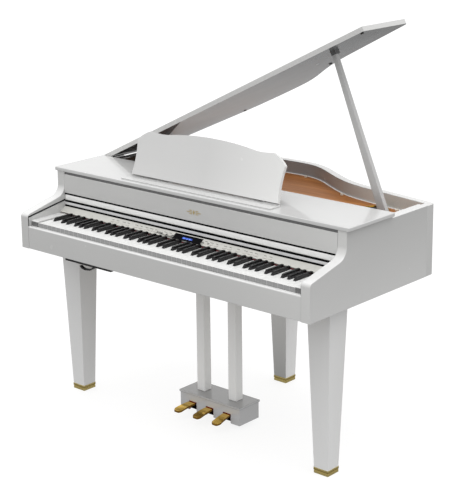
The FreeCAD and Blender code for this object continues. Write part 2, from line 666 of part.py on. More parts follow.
def prop():
    """The folding prop, upright about its pivot and then leaned over, with its bracket and pin."""
    half = d.prop_deep / 2
    outline = [(-PROP_TIP / 2, PROP_LONG - 5), ((0, PROP_LONG), (PROP_TIP / 2, PROP_LONG - 5)),
               (PROP_FOOT / 2, 0), ((0, -PROP_FOOT / 2), (-PROP_FOOT / 2, 0))]
    body = slab("lid_prop_bar", "XZ_Plane", lambda s: draw(s, outline), "prop_deep", "-prop_deep / 2")
    soften(body, 2, lambda m: abs(abs(m.y) - half) < 0.1 and m.z > 1)
    bore = cylinder("lid_prop_bore", ("0", "-prop_deep", "0"), "4.06", "2 * prop_deep", Y_AXIS)
    bar = cut("lid_prop", body, bore)
    pivot = V(d.prop_x, back(d.prop_back), d.prop_z)
    bar.Placement = FreeCAD.Placement(pivot, FreeCAD.Rotation(Y_AXIS, -d.prop_lean))
    node("lid_prop", bar)
    low = d.soundboard_top - d.prop_z
    parts = [block(-24, 24, -half - 6, half + 6, low, low + 1.5), rod_y(-half - 5, half + 5, PROP_PIN, 0, 0)]
    for y0 in (-half - 4.3, half + 0.3):
        parts += [block(-16, 16, y0, y0 + 4, low, 2), rod_y(y0, y0 + 4, 16, 0, 0)]
    bracket = fused(parts)
    bracket.translate(pivot)
    node("prop_bracket", feature("prop_bracket", bracket))


# ---- Legs, lyre and pedals ----

LEGS = {"front_leg_left": (-d.leg_half_spread, d.leg_back),
        "front_leg_right": (d.leg_half_spread, d.leg_back),
        "rear_leg": (d.rear_leg_x, d.rear_leg_back)}


def square(x, y, z, side):
    """A square wire, level at height z and centred behind the front of the arms."""
    half = side / 2
    corners = ((-half, -half), (half, -half), (half, half), (-half, half), (-half, -half))
    return Part.makePolygon([V(x + across, back(y) + along, z) for across, along in corners])


def legs():
    top_z = d.case_bottom + 2
    foot = d.leg_foot + (d.leg_top - d.leg_foot) * d.ferrule_tall / d.case_bottom
    ferrules = []
    for name, (x, y) in LEGS.items():
        leg = Part.makeLoft([square(x, y, d.ferrule_tall, foot), square(x, y, top_z, d.leg_top)], True, True)
        leg = leg.makeFillet(2, [e for e in leg.Edges if top_z - 1 > middle_of(e).z > d.ferrule_tall + 1])
        node(name, feature(name, leg))
        levels = ((0, 9, 61), (9, 11.5, 58), (11.5, d.ferrule_tall, 62.5))
        rings = []
        for z0, z1, wide in levels:
            part = block(x - wide / 2, x + wide / 2, back(y) - wide / 2, back(y) + wide / 2, z0, z1)
            rings.append(part.makeFillet(2.5, [e for e in part.Edges if abs(e.Length - z1 + z0) < 0.01]))
        ferrules.append(fused(rings))
    node("leg_ferrules", feature("leg_ferrules", Part.Compound(ferrules)))


PEDALS = {"left_pedal": -1, "middle_pedal": 0, "right_pedal": 1}
TOE_LEAN = 9                               # the outer toes point outwards
ADJUSTER_BACK, ADJUSTER_HOLE = 366, 5.06


def lyre():
    posts = []
    for side in (-1, 1):
        middle = f"{side} * post_half_spread"
        body = slab(f"post{side + 1}", "XY_Plane", lambda s: rectangle(
            s, f"{middle} - post_wide / 2", "front + post_back - post_wide / 2",
            f"{middle} + post_wide / 2", "front + post_back + post_wide / 2"),
            "case_bottom + 2 - box_top - box_lid_thick", "box_top + box_lid_thick")
        posts.append(soften(body, 6, lambda m: d.box_top + 9 < m.z < d.case_bottom - 1))
    node("lyre_posts", compound("lyre_posts", posts))
    shell = box("pedal_box_shell", ("-box_half", "front + box_back", "box_bottom"),
                ("2 * box_half", "box_deep", "box_top - box_bottom"))
    hollow = box("pedal_box_hollow", ("box_wall - box_half", "front + box_back + box_wall", "box_bottom - 1"),
                 ("2 * (box_half - box_wall)", "box_deep - 2 * box_wall",
                  "box_top - box_bottom - box_wall + 1"))
    slots = [box(f"pedal_slot{i}",
                 (f"{i} * pedal_pitch - slot_wide / 2", "front + box_back - 1", "box_bottom - 1"),
                 ("slot_wide", "box_wall + 2", "slot_top - box_bottom + 1")) for i in PEDALS.values()]
    adjuster = f"front + {ADJUSTER_BACK}"
    boss = cylinder("adjuster_boss", ("0", adjuster, "26"), "9", "box_top - box_wall - 25")
    bore = cylinder("adjuster_bore", ("0", adjuster, "0"), str(ADJUSTER_HOLE), "66")
    whole = join("pedal_box_body", cut("pedal_box_open", shell, hollow, *slots), boss)
    node("pedal_box", cut("pedal_box", whole, bore))
    inset = "(box_lid_over - 1)"
    lower = box("box_lid_lower", (f"-box_half - {inset}", f"front + box_back - {inset}", "box_top"),
                (f"2 * (box_half + {inset})", f"box_deep + 2 * {inset}", "2"))
    upper = slab("box_lid_upper", "XY_Plane", lambda s: rectangle(
        s, "-box_half - box_lid_over", "front + box_back - box_lid_over",
        "box_half + box_lid_over", "front + box_back + box_deep + box_lid_over"),
        "box_lid_thick - 2", "box_top + 2")
    soften(upper, 1.2, lambda m: m.z > d.box_top + d.box_lid_thick - 0.1)
    node("pedal_box_lid", join("pedal_box_lid", lower, upper))
    rod = cylinder("pedal_rod", ("box_wall - box_half", "front + pedal_pivot_back", "pedal_pivot_z"), "3",
                   "2 * box_half - 2 * box_wall", X_AXIS)
    node("pedal_rod", rod)
    screw = Part.makeCylinder(5, 50, V(0, back(ADJUSTER_BACK), 9))
    disc = Part.makeCylinder(15, 10, V(0, back(ADJUSTER_BACK), 0))
    node("adjuster_foot", feature("adjuster_foot", fused([disc, screw])))


def pedals():
    """Each pedal is a bent bar, cut to a plan that widens into a round toe, with a hub on the rod."""
    y, z = d.pedal_pivot_back, d.pedal_pivot_z
    side = [(back(y), z + 3.5), (back(290), z + 3.5), ((back(246), z + 1), (back(203), z - 7)),
            ((back(196), z - 10.5), (back(199), z - 14)), ((back(246), z - 6), (back(290), z - 3.5)),
            (back(y), z - 3.5)]
    felts = []
    for name, index in PEDALS.items():
        x = index * d.pedal_pitch
        toe = x + index * TOE_LEAN
        neck = x + index * 1.5
        plan = [(x - 8.5, back(y)), (x - 8.5, back(300)), (neck - 15.5, back(280)), (toe - 18.2, back(218)),
                ((toe, back(196)), (toe + 18.2, back(218))), (neck + 15.5, back(280)), (x + 8.5, back(300)),
                (x + 8.5, back(y))]
        bar = slab(name + "_bar", "YZ_Plane", lambda s: draw(s, side), "70", f"{x} - 35")
        shadow = slab(name + "_plan", "XY_Plane", lambda s: draw(s, plan), "60", "10")
        lever = doc.addObject("Part::Common", name + "_lever")
        lever.Base, lever.Tool = bar, shadow
        pivot = ("front + pedal_pivot_back", "pedal_pivot_z")
        hub = cylinder(name + "_hub", (f"{x} - 8.5", *pivot), "7", "17", X_AXIS)
        bore = cylinder(name + "_bore", (f"{x} - 10", *pivot), "3.07", "20", X_AXIS)
        node(name, cut(name, join(name + "_whole", lever, hub), bore))
        felts.append(block(x - 18, x + 18, back(d.box_back + 1), back(d.box_back + 8), z + 4.5, d.slot_top))
    node("pedal_felts", feature("pedal_felts", Part.Compound(felts)))


# ---- Electronics and connectors ----

# The bent strip of the headphone hook: X, and height above the underside of the jack box.
HOOK = ((-316, 0), (-322, -8), (-340, -18), (-366, -21.5), (-384, -18), (-394, -10), (-390, -7.5),
        (-381, -13.5), (-365, -16.5), (-342, -13), (-327, -5), (-324, 0), (-316, 0))


def fittings():
    under = d.case_bottom + 2
    x0, x1 = d.jack_x - d.jack_wide / 2, d.jack_x + d.jack_wide / 2
    low = under - 14
    jack = fused([block(x0, x1, back(14), back(84), low, low + 11.7),
                  block(x0, x1, back(24), back(84), low, under)])
    for x in (x0 + 20, x0 + 42):
        jack = jack.cut(rod_y(back(10), back(40), 3.2, x, low + 6))
    node("jack_box", feature("jack_box", jack))
    hook = Part.makePolygon([V(x, back(18), low + z) for x, z in HOOK])
    node("headphone_hook", feature("headphone_hook", Part.Face(hook).extrude(V(0, 12, 0))))
    node("sound_module", box("sound_module", ("-180", "front + 500", "case_bottom + bed_thick"),
                             ("340", "180", "38")))
    inlet = block(-590, -530, back(640), back(690), under - 14, under)
    inlet = inlet.cut(rod_y(back(680), back(700), 3, -560, under - 7))
    node("power_inlet", feature("power_inlet", inlet))


for build in (sides, rim_and_boards, speakers, front_of_case, control_panel, fallboard, keys, key_rail,
              top_board, music_rest, lid, prop, legs, lyre, pedals, fittings):
    build()

doc.recompute()
for item in doc.Objects:
    if "Invalid" in item.State or "Error" in item.State:
        raise RuntimeError(f"{item.Label} did not build: {item.State}")
for name, item in nodes.items():
    shape = item.Shape
    if shape.isNull() or not shape.isValid() or not shape.Solids:
        raise RuntimeError(f"{name} has no valid solid")
    shape.exportStep(f"parts/{name}.step")
print(len(nodes), "nodes written")
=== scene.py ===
import json
import math

import bmesh
import bpy
from mathutils import Matrix, Vector


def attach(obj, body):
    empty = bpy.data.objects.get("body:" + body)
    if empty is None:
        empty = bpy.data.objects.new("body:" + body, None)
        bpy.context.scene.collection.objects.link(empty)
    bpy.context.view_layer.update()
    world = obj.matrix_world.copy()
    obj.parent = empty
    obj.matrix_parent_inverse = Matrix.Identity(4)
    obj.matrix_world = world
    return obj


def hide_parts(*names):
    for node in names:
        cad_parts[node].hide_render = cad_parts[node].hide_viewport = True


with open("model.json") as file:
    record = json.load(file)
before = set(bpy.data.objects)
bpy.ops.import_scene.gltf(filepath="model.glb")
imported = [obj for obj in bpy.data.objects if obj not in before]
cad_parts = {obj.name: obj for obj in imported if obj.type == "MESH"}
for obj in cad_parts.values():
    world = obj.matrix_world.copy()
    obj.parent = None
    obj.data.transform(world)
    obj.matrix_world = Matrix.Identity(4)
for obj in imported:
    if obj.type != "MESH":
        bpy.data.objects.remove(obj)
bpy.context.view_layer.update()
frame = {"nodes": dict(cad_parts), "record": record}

NODES = frame["nodes"]
SLOT_OF = {row["node"]: row["material_slot"] for row in frame["record"]["subparts"]}
BODY_OF = {node: body for body, members in frame["record"]["behaviour"]["bodies"].items() for node in members}
MM = 0.001
FRONT = -0.467        # the front of the arms; depths in millimetres are measured back from it


# ---- Camera, light and floor ----

VIEW_AZIMUTH, VIEW_ELEVATION, VIEW_ROLL = 41.611, 14.43, -0.635    # degrees
VIEW_DISTANCE = 5.2175
VIEW_AIM = Vector((0, -0.067, 0.7))
VIEW_SLIDE = (-0.0057, 0.114)      # how far the camera is moved right and up, square to its line of sight
LENS, LENS_SHIFT = 103.19, -0.1


def make_camera():
    azimuth, elevation = math.radians(VIEW_AZIMUTH), math.radians(VIEW_ELEVATION)
    forward = Vector((-math.sin(azimuth) * math.cos(elevation), math.cos(azimuth) * math.cos(elevation),
                      -math.sin(elevation)))
    right = Vector((math.cos(azimuth), math.sin(azimuth), 0))
    up = right.cross(forward)
    data = bpy.data.cameras.new("camera")
    data.lens = LENS
    data.shift_y = LENS_SHIFT
    data.clip_end = 200
    camera = bpy.data.objects.new("camera", data)
    bpy.context.scene.collection.objects.link(camera)
    turn = Matrix((right, up, -forward)).transposed()
    camera.rotation_euler = (turn @ Matrix.Rotation(math.radians(VIEW_ROLL), 3, "Z")).to_euler()
    camera.location = VIEW_AIM - forward * VIEW_DISTANCE + right * VIEW_SLIDE[0] + up * VIEW_SLIDE[1]
    bpy.context.scene.camera = camera


# How bright the room is, from straight down (0) to straight up (1).
ROOM = [(0.0, 0.34), (0.47, 0.5), (0.53, 0.86), (1.0, 1.1)]


def make_studio():
    world = bpy.data.worlds.new("studio")
    world.use_nodes = True
    tree = world.node_tree
    direction = tree.nodes.new("ShaderNodeTexCoord").outputs["Generated"]
    height = tree.nodes.new("ShaderNodeSeparateXYZ")
    share = tree.nodes.new("ShaderNodeMapRange")
    share.inputs["From Min"].default_value = -1
    ramp = tree.nodes.new("ShaderNodeValToRGB")
    while len(ramp.color_ramp.elements) < len(ROOM):
        ramp.color_ramp.elements.new(0.5)
    for element, (position, grey) in zip(ramp.color_ramp.elements, ROOM):
        element.position = position
        element.color = (grey, grey, grey, 1)
    tree.links.new(direction, height.inputs["Vector"])
    tree.links.new(height.outputs["Z"], share.inputs["Value"])
    tree.links.new(share.outputs["Result"], ramp.inputs["Fac"])
    tree.links.new(ramp.outputs["Color"], tree.nodes["Background"].inputs["Color"])
    bpy.context.scene.world = world
    bpy.context.scene.view_settings.view_transform = "Standard"

    sun = bpy.data.lights.new("sky_light", "SUN")
    sun.energy = 1.2
    sun.angle = math.radians(60)
    lamp = bpy.data.objects.new("sky_light", sun)
    lamp.rotation_euler = (math.radians(5), math.radians(8), 0)
    bpy.context.scene.collection.objects.link(lamp)

    bpy.ops.mesh.primitive_plane_add(size=60)
    floor = bpy.context.object
    floor.name = "floor"
    floor.data.materials.append(floor_paint())
    floor.visible_diffuse = False        # the room's own light stands in for the floor's, so it stays even
    floor.visible_glossy = False


# ---- Materials ----

class Surface:
    """A node material built step by step around one Principled shader."""

    def __init__(self, name, **sockets):
        self.material = bpy.data.materials.new(name)
        self.material.use_nodes = True
        self.tree = self.material.node_tree
        self.shader = self.tree.nodes["Principled BSDF"]
        for socket, value in sockets.items():
            self.set(socket.replace("_", " "), value)
        source = self.tree.nodes.new("ShaderNodeTexCoord")
        self.vectors = {"place": source.outputs["Object"], "normal": source.outputs["Normal"]}

    def set(self, socket, value):
        self.shader.inputs[socket].default_value = (*value, 1) if isinstance(value, tuple) else value

    def noise(self, scale, detail=2.0, stretch=(1, 1, 1), distortion=0.0):
        """A noise pattern in metres of the part's own frame; stretch makes it finer along each axis."""
        mapping = self.tree.nodes.new("ShaderNodeMapping")
        mapping.inputs["Scale"].default_value = stretch
        texture = self.tree.nodes.new("ShaderNodeTexNoise")
        texture.inputs["Scale"].default_value = scale
        texture.inputs["Detail"].default_value = detail
        texture.inputs["Distortion"].default_value = distortion
        self.tree.links.new(self.vectors["place"], mapping.inputs["Vector"])
        self.tree.links.new(mapping.outputs["Vector"], texture.inputs["Vector"])
        return texture.outputs["Fac"]

    def ramp(self, factor, stops):
        """Colours or greys at places along a pattern: [(place, (r, g, b)), ...]."""
        node = self.tree.nodes.new("ShaderNodeValToRGB")
        elements = node.color_ramp.elements
        while len(elements) < len(stops):
            elements.new(0.5)
        for element, (position, colour) in zip(elements, stops):
            element.position = position
            element.color = (*colour, 1)
        self.tree.links.new(factor, node.inputs["Fac"])
        return node.outputs["Color"]

    def tint(self, factor, stops, patches=()):
        """Colour the surface by a pattern, with patches over it: a colour and the tests that bound it."""
        colour = self.ramp(factor, stops)
        for patch, tests in patches:
            share = self.test(*tests[0])
            for test in tests[1:]:
                share = self.multiply(share, self.test(*test))
            colour = self.cover(colour, patch, share)
        self.tree.links.new(colour, self.shader.inputs["Base Color"])

    def test(self, vector, direction, low, high):
        """From 0 to 1 as the place, or the normal, goes from low to high along a direction."""
        along = self.tree.nodes.new("ShaderNodeVectorMath")
        along.operation = "DOT_PRODUCT"
        along.inputs[1].default_value = direction
        share = self.tree.nodes.new("ShaderNodeMapRange")
        share.inputs["From Min"].default_value = low
        share.inputs["From Max"].default_value = high
        self.tree.links.new(self.vectors[vector], along.inputs[0])
        self.tree.links.new(along.outputs["Value"], share.inputs["Value"])
        return share.outputs["Result"]

    def multiply(self, first, second):
        node = self.tree.nodes.new("ShaderNodeMath")
        node.operation = "MULTIPLY"
        self.tree.links.new(first, node.inputs[0])
        self.tree.links.new(second, node.inputs[1])
        return node.outputs["Value"]

    def cover(self, pattern, colour, share):
        """A colour laid over a pattern, where its share is 1."""
        node = self.tree.nodes.new("ShaderNodeMix")
        node.data_type = "RGBA"
        node.inputs["B"].default_value = (*colour, 1)
        self.tree.links.new(share, node.inputs["Factor"])
        self.tree.links.new(pattern, node.inputs["A"])
        return node.outputs["Result"]

    def blend(self, first, second, factor):
        """One colour pattern multiplied by another."""
        node = self.tree.nodes.new("ShaderNodeMix")
        node.data_type = "RGBA"
        node.blend_type = "MULTIPLY"
        node.inputs["Factor"].default_value = factor
        self.tree.links.new(first, node.inputs["A"])
        self.tree.links.new(second, node.inputs["B"])
        return node.outputs["Result"]

    def rough(self, factor, low, high):
        node = self.tree.nodes.new("ShaderNodeMapRange")
        node.inputs["To Min"].default_value = low
        node.inputs["To Max"].default_value = high
        self.tree.links.new(factor, node.inputs["Value"])
        self.tree.links.new(node.outputs["Result"], self.shader.inputs["Roughness"])

    def bump(self, factor, height, strength=1.0):
        node = self.tree.nodes.new("ShaderNodeBump")
        node.inputs["Strength"].default_value = strength
        node.inputs["Distance"].default_value = height
        self.tree.links.new(factor, node.inputs["Height"])
        self.tree.links.new(node.outputs["Normal"], self.shader.inputs["Normal"])


def around(colour, spread):
    """Two stops a little under and over a colour."""
    under = tuple(channel * (1 - spread) for channel in colour)
    over = tuple(min(1, channel * (1 + spread)) for channel in colour)
    return [(0.3, under), (0.7, over)]


def floor_paint():
    """Pale paint with a little light of its own, which keeps the shadows on it soft."""
    surface = Surface("floor_paint", Roughness=0.8, Emission_Color=(1, 1, 1), Emission_Strength=0.86)
    surface.tint(surface.noise(3), around((0.14, 0.14, 0.14), 0.01))
    return surface.material


def lacquer(name, colour, patches=(), spread=0.012, coat=0.75, specular=0.5):
    """Polished lacquer: a clear coat over paint, with a faint ripple from the spray gun."""
    surface = Surface(name, Coat_Weight=coat, Coat_Roughness=0.035, IOR=1.48, Specular_IOR_Level=specular)
    surface.tint(surface.noise(2.2), around(colour, spread), patches)
    surface.rough(surface.noise(14), 0.2, 0.3)
    surface.bump(surface.noise(12, detail=1), 0.00002, 0.5)
    return name, surface.material


def plastic(name, colour, low, high, grain=0.00002, spread=0.03, scale=900, patches=(), shine=0.45, glow=0.0):
    surface = Surface(name, IOR=1.46, Specular_IOR_Level=shine, Emission_Color=(1, 1, 1),
                      Emission_Strength=glow)
    surface.tint(surface.noise(30), around(colour, spread), patches)
    surface.rough(surface.noise(60), low, high)
    surface.bump(surface.noise(scale, detail=1), grain, 0.4)
    return name, surface.material


def metal(name, colour, low, high, stretch=(1, 1, 1), spread=0.06, patches=()):
    surface = Surface(name, Metallic=1.0)
    surface.tint(surface.noise(45, stretch=stretch), around(colour, spread), patches)
    surface.rough(surface.noise(70, detail=4, stretch=stretch), low, high)
    surface.bump(surface.noise(600, stretch=stretch), 0.00001, 0.3)
    return name, surface.material


def felt(name, colour):
    """Fuzzy cloth."""
    surface = Surface(name, Roughness=0.95, Sheen_Weight=0.5, Sheen_Roughness=0.5)
    surface.tint(surface.noise(900, detail=4), around(colour, 0.3))
    surface.bump(surface.noise(1500, detail=4), 0.0003, 0.8)
    return name, surface.material


def soundboard_wood():
    """Varnished wood: broad bands of figure along the instrument's width, with fine lines over them."""
    surface = Surface("soundboard_wood", Specular_IOR_Level=0.12)
    figure = surface.ramp(surface.noise(6, detail=3, stretch=(0.35, 4, 1), distortion=0.6),
                          [(0.3, (0.34, 0.125, 0.03)), (0.52, (0.46, 0.18, 0.047)),
                           (0.72, (0.56, 0.235, 0.066))])
    lines = surface.ramp(surface.noise(60, detail=5, stretch=(0.12, 5, 1)),
                         [(0.35, (0.72, 0.68, 0.62)), (0.6, (1, 1, 1))])
    surface.tree.links.new(surface.blend(figure, lines, 0.8), surface.shader.inputs["Base Color"])
    surface.rough(lines, 0.5, 0.38)
    surface.bump(lines, 0.0001, 0.3)
    return "soundboard_wood", surface.material


def display_light():
    """The lit part of the display: uneven blue light, brighter in bars."""
    surface = Surface("glow", Roughness=0.4, Emission_Strength=1.1)
    surface.tint(surface.noise(200), around((0.01, 0.015, 0.04), 0.2))
    light = surface.ramp(surface.noise(150, detail=3, stretch=(1, 0.35, 0.35)),
                         [(0.4, (0.0, 0.012, 0.12)), (0.52, (0.03, 0.12, 0.75)), (0.68, (0.35, 0.5, 0.95))])
    surface.tree.links.new(light, surface.shader.inputs["Emission Color"])
    return "glow", surface.material


def board(name, colour):
    """Rough sawn board."""
    surface = Surface(name, Roughness=0.7)
    surface.tint(surface.noise(50, detail=4, stretch=(0.2, 3, 1)), around(colour, 0.16))
    surface.bump(surface.noise(300, detail=3, stretch=(0.2, 3, 1)), 0.0002, 0.5)
    return name, surface.material


# Tests for patches: faces that point one way, and places along one direction, in metres.
UNDER, UPWARD = ("normal", (0, 0, -1), 0.2, 0.5), ("normal", (0, 0, 1), 0.1, 0.6)
TOP_FACE = ("normal", (0, 0, 1), 0.8, 0.99)
FRONTAL, RIGHTWARD = ("normal", (0, -1, 0), 0.5, 0.9), ("normal", (1, 0, 0), 0.5, 0.9)
INWARD, INWARD_LEFT = ("normal", (0, -1, 0), 0.1, 0.5), ("normal", (1, 0, 0), 0.5, 0.8)
KEY_FRONT = ("normal", (0, -1, 0), 0.75, 0.95)
OVER_SOUNDBOARD = ("place", (0, 0, 1), 0.8, 0.806)
BEHIND_FRONT_PANEL = ("place", (0, 1, 0), -0.26, -0.2)
# A painted reflection on the lid's underside: near black beyond a slanting line, where the dark inside would
# be mirrored.
LID_DARK_REFLECTION = ("place", (-1, -1.373, 0), 0.3, 0.31)       # the dark corner beyond a slanting line
FERRULE_RING = [("place", (0, 0, 1), 0.012, 0.014), ("place", (0, 0, -1), -0.017, -0.015)]

# The second grey is painted light: faces that point up are lightened as if lit from above.
WHITE, PAINTED_TOP_LIGHT = (0.575, 0.575, 0.568), (0.73, 0.73, 0.725)


def toward_right(start, full):
    return "place", (1, 0, 0), start, full


def toward_left(start, full):
    return "place", (-1, 0, 0), -start, -full


def case_lacquers():
    return [
        lacquer("white_lacquer", WHITE, [
            (PAINTED_TOP_LIGHT, [UPWARD]),
            # Painted light: front faces lighten toward the right, and faces that point right are lighter;
            # painted shade darkens the upper part of those right faces.
            ((0.66, 0.66, 0.65), [FRONTAL, toward_right(0.2, 0.68)]),
            ((0.62, 0.62, 0.613), [RIGHTWARD]),
            ((0.51, 0.51, 0.504), [RIGHTWARD, ("place", (0, 0, 1), 0.62, 0.87)])]),
        lacquer("left_lacquer", WHITE, [
            (PAINTED_TOP_LIGHT, [UPWARD]),
            # Painted shade: the inner face of the left side, over the soundboard and behind the front panel,
            # is near black.
            ((0.03, 0.028, 0.026), [INWARD_LEFT, OVER_SOUNDBOARD, BEHIND_FRONT_PANEL])]),
        lacquer("rim_lacquer", WHITE, [
            (PAINTED_TOP_LIGHT, [UPWARD]),
            # Painted reflection: the rim's inner face over the soundboard takes a grey of its own, and
            # painted shade darkens it toward the left.
            ((0.66, 0.69, 0.68), [INWARD, OVER_SOUNDBOARD]),
            ((0.36, 0.38, 0.4), [INWARD, OVER_SOUNDBOARD, toward_left(0.42, 0.12)])]),
        # Copies of the white lacquer with greys of their own, painted for how the light falls on the top
        # board and the rest; the rest lightens toward the right with painted light.
        lacquer("top_lacquer", (0.6, 0.6, 0.596)),
        lacquer("rest_lacquer", (0.62, 0.62, 0.615), [
            ((0.78, 0.78, 0.77), [toward_right(0, 0.34)])]),
        lacquer("lid_lacquer", (0.66, 0.66, 0.652), [
            # Painted reflection on the lid's underside: light near the hinge, going dark toward the tip, and
            # near black in the far corner.
            ((0.77, 0.82, 0.86), [UNDER]),
            ((0.06, 0.066, 0.07), [UNDER, toward_right(-0.3, 0.5)]),
            ((0.012, 0.011, 0.01), [UNDER, LID_DARK_REFLECTION])], coat=0.4, specular=0.25),
        # Painted shade: a dark grey for strips set where a gap or a face lies in shade.
        lacquer("painted_shade_grey", (0.15, 0.15, 0.15)),
    ]


def lower_lacquers():
    return [
        # Lit and shaded copies of the white lacquer: the legs, rear leg, lyre posts and fallboard are lighter
        # with painted light, the rear leg's front face is darker and darkest toward the floor with painted
        # shade, and the prop is darker with painted shade.
        lacquer("leg_lacquer", (0.8, 0.8, 0.795)),
        lacquer("rear_leg_lacquer", (0.93, 0.93, 0.925), [
            ((0.76, 0.76, 0.75), [FRONTAL]),
            ((0.46, 0.46, 0.45), [FRONTAL, ("place", (0, 0, -1), -0.3, -0.03)])]),
        lacquer("post_lacquer", (0.92, 0.92, 0.91)),
        lacquer("prop_lacquer", (0.5, 0.5, 0.496)),
        # Painted highlight: the black socket is lightened to dark grey, standing in for its highlights.
        lacquer("socket_paint", (0.11, 0.11, 0.11)),
        # Painted shade: faces that point up are darker than the sides.
        lacquer("silver_paint", (0.53, 0.53, 0.535), [((0.34, 0.34, 0.342), [UPWARD])], spread=0.02),
        lacquer("fascia_plastic", (0.73, 0.73, 0.74)),
    ]


def plastics():
    return [
        # Painted shade: the key fronts are darker, as if shaded by the key tops.
        plastic("natural_key_plastic", (0.8, 0.8, 0.79), 0.16, 0.24, spread=0.012,
                patches=[((0.34, 0.34, 0.34), [KEY_FRONT])]),
        plastic("sharp_key_plastic", (0.004, 0.004, 0.0045), 0.16, 0.26, grain=0.00001),
        plastic("ivory_plastic", (0.6, 0.595, 0.56), 0.35, 0.45),
        plastic("button_plastic", (0.6, 0.59, 0.55), 0.4, 0.5),
        plastic("display_plastic", (0.002, 0.002, 0.003), 0.5, 0.55, grain=0.000001, shine=0.06),
        # Near black: painted shadow in gaps and in the pedal box, and print for the marks by the buttons.
        plastic("shadow_and_print_black", (0.002, 0.002, 0.002), 0.8, 0.9, shine=0.05),
        # The bead's faint glow is a painted highlight.
        plastic("bead_lacquer_painted_glint", (0.85, 0.85, 0.84), 0.2, 0.3, glow=0.15),
        plastic("black_paint", (0.015, 0.015, 0.016), 0.3, 0.45),
        plastic("black_plastic", (0.012, 0.012, 0.012), 0.45, 0.6, grain=0.00008, scale=1500),
        plastic("cream_rubber", (0.8, 0.76, 0.66), 0.55, 0.7),
    ]


def metals():
    return [
        # Painted highlight and shade: the brass is dark on its sides, with bright gold on faces that point
        # up.
        metal("brass", (0.28, 0.145, 0.02), 0.1, 0.2, spread=0.2,
              patches=[((0.84, 0.55, 0.12), [TOP_FACE])]),
        metal("ferrule_brass", (0.62, 0.5, 0.2), 0.2, 0.35,
              patches=[((0.28, 0.2, 0.06), FERRULE_RING)]),
        metal("pale_gold", (0.62, 0.5, 0.27), 0.3, 0.45),
        metal("steel", (0.6, 0.6, 0.6), 0.28, 0.42, stretch=(0.1, 4, 4)),
    ]


def make_materials():
    """Every finish by its name."""
    others = [soundboard_wood(), board("bed_wood", (0.42, 0.36, 0.28)),
              felt("red_felt", (0.25, 0.008, 0.012)), display_light()]
    return dict(case_lacquers() + lower_lacquers() + plastics() + metals() + others)


# ---- Pieces ----

SMOOTH_ANGLE, ROUNDED_ANGLE = math.radians(30), math.radians(25)


def clean_mesh(node):
    """The node's surface with its triangles joined into flat faces."""
    mesh = bmesh.new()
    mesh.from_mesh(NODES[node].data)
    bmesh.ops.remove_doubles(mesh, verts=mesh.verts, dist=0.00002)
    bmesh.ops.dissolve_limit(mesh, angle_limit=math.radians(0.5), verts=mesh.verts, edges=mesh.edges)
    return mesh


def add_piece(name, mesh, material, body="case"):
    """An object from a bmesh, which rides on a body and takes the finish it is given."""
    data = bpy.data.meshes.new(name)
    plain = bmesh.new()
    corners = [plain.verts.new(vertex.co) for vertex in mesh.verts]
    mesh.verts.index_update()
    for face in mesh.faces:
        plain.faces.new([corners[vertex.index] for vertex in face.verts])
    mesh.free()
    plain.to_mesh(data)
    plain.free()
    data.materials.append(material)
    data.shade_smooth()
    data.set_sharp_from_angle(angle=SMOOTH_ANGLE)
    piece = bpy.data.objects.new(name, data)
    bpy.context.scene.collection.objects.link(piece)
    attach(piece, body)
    return piece


def round_edges(piece, width):
    """Round every edge of a piece that turns by more than an angle."""
    modifier = piece.modifiers.new("round", "BEVEL")
    modifier.width = width
    modifier.segments = 2
    modifier.limit_method = "ANGLE"
    modifier.angle_limit = ROUNDED_ANGLE
    modifier.miter_outer = "MITER_ARC"
    modifier.harden_normals = True
    depsgraph = bpy.context.evaluated_depsgraph_get()
    rounded = bpy.data.meshes.new_from_object(piece.evaluated_get(depsgraph))
    piece.modifiers.clear()
    piece.data = rounded


def refine(node, width):
    """Stand in for a CAD node with the same piece, its sharp edges rounded."""
    slot = SLOT_OF[node]
    finish = MATERIALS[FINISH.get(node, slot)]
    piece = add_piece(node + "_finish", clean_mesh(node), finish, BODY_OF[node])
    round_edges(piece, width)
    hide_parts(node)


# The nodes whose finish isn't plainly their slot's, and the rounding of edges in millimetres; most of these
# finishes are copies with light and shade painted in.
FINISH = {
    "lid": "lid_lacquer", "lid_prop": "prop_lacquer", "prop_socket": "socket_paint",
    "top_board": "top_lacquer", "rest_ledge": "top_lacquer", "music_rest": "rest_lacquer",
    "rear_rim": "rim_lacquer", "left_side_panel": "left_lacquer", "fallboard": "post_lacquer",
    "front_leg_left": "leg_lacquer", "front_leg_right": "leg_lacquer", "rear_leg": "rear_leg_lacquer",
    "lyre_posts": "post_lacquer", "leg_ferrules": "ferrule_brass",
}
ROUNDED = {
    "left_side_panel": 1.5, "right_side_panel": 1.5, "rear_rim": 1.5, "front_rail": 1.5, "front_panel": 1,
    "fascia_strip": 1, "cheek_blocks": 1, "control_panel": 0.4, "display_window": 0.6, "fallboard": 1.5,
    "bass_white_keys": 0.8, "treble_white_keys": 0.8,
    "middle_c_key": 0.8, "middle_d_key": 0.8, "middle_e_key": 0.8,
    "bass_black_keys": 1.2, "treble_black_keys": 1.2, "middle_c_sharp_key": 1.2, "middle_d_sharp_key": 1.2,
    "top_board": 2.5, "rest_ledge": 1, "music_rest": 2, "lid": 3, "lid_prop": 2, "front_leg_left": 1,
    "front_leg_right": 1, "rear_leg": 1, "leg_ferrules": 0.8, "lyre_posts": 2.5, "pedal_box": 1.2,
    "pedal_box_lid": 1.5, "left_pedal": 1.8, "middle_pedal": 1.8, "right_pedal": 1.8, "prop_bracket": 1,
    "prop_socket": 1, "jack_box": 1, "headphone_hook": 1, "sound_module": 1, "power_inlet": 1,
}


def finish_nodes():
    """Each node takes its slot's finish, and those with edges to round get their stand-ins."""
    for node, obj in NODES.items():
        obj.data.materials.clear()
        obj.data.materials.append(MATERIALS[SLOT_OF[node]])
    for node, width in ROUNDED.items():
        refine(node, width * MM)


